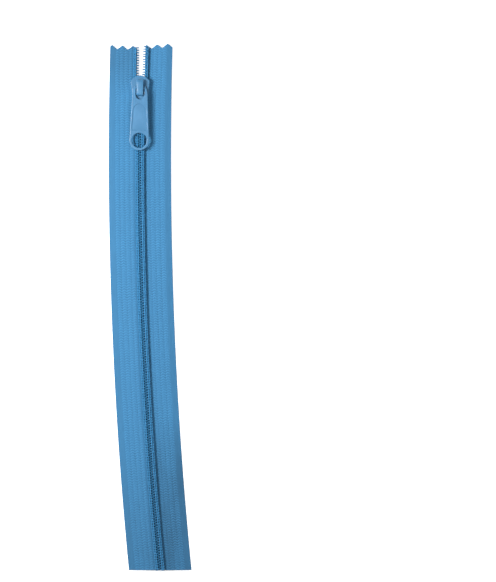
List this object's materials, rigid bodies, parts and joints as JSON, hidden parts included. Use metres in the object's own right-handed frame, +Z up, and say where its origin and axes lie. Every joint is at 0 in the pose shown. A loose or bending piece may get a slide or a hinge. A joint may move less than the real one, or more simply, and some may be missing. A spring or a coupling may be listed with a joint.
{
  "type": "coil zipper with long-pull slider",
  "caption": "Length of nylon coil zipper chain on two woven tapes, pinked at one end and cut straight at the other, with a slider and its long flat pull.",
  "frame": {"origin": "under the middle of the box, on the floor that the slider's lower plate rests on", "axes": "+Z up, away from the floor; +Y along the chain towards the pinked end; +X to the right, seen from above with the pinked end at the top"},
  "size_m": [0.0422, 0.2682, 0.0083],
  "materials": {
    "tape": "matt woven polyester",
    "coil": "dyed nylon wire",
    "cord": "twisted filler cord",
    "thread": "sewing thread",
    "paint": "glossy enamel"
  },
  "bodies": {
    "chain_foot": {"left_tape_foot": "tape", "left_coil_foot": "coil", "left_cord_foot": "cord", "left_inner_thread_foot": "thread", "left_outer_thread_foot": "thread", "right_tape_foot": "tape", "right_coil_foot": "coil", "right_cord_foot": "cord", "right_inner_thread_foot": "thread", "right_outer_thread_foot": "thread"},
    "left_half": {"left_tape": "tape", "left_coil": "coil", "left_cord": "cord", "left_inner_thread": "thread", "left_outer_thread": "thread"},
    "right_half": {"right_tape": "tape", "right_coil": "coil", "right_cord": "cord", "right_inner_thread": "thread", "right_outer_thread": "thread"},
    "slider": {"slider_body": "paint"},
    "pull": {"pull_tab": "paint"}
  },
  "joints": [
    {"name": "slider_run", "type": "hinge", "parent": "chain_foot", "child": "slider", "pos_m": [2.13178, 0.07605, 0], "axis": [0, 0, 1], "range_deg": [0, 5.7], "deforming": ["left_tape", "left_coil", "left_cord", "left_inner_thread", "left_outer_thread", "right_tape", "right_coil", "right_cord", "right_inner_thread", "right_outer_thread"]},
    {"name": "left_open", "type": "hinge", "parent": "chain_foot", "child": "left_half", "pos_m": [0.00324, -0.11395, 0.0016], "axis": [0, 0, 1], "range_deg": [0, 5]},
    {"name": "right_open", "type": "hinge", "parent": "chain_foot", "child": "right_half", "pos_m": [0.00324, -0.11395, 0.0016], "axis": [0, 0, -1], "range_deg": [0, 5]},
    {"name": "pull_swing", "type": "hinge", "parent": "slider", "child": "pull", "pos_m": [-0.00493, 0.11135, 0.006], "axis": [-0.9999, 0.0166, 0], "range_deg": [0, 180]}
  ],
  "couplings": [
    {"joint": "left_open", "follows": "slider_run", "ratio": 0.87719},
    {"joint": "right_open", "follows": "slider_run", "ratio": 0.87719}
  ]
}
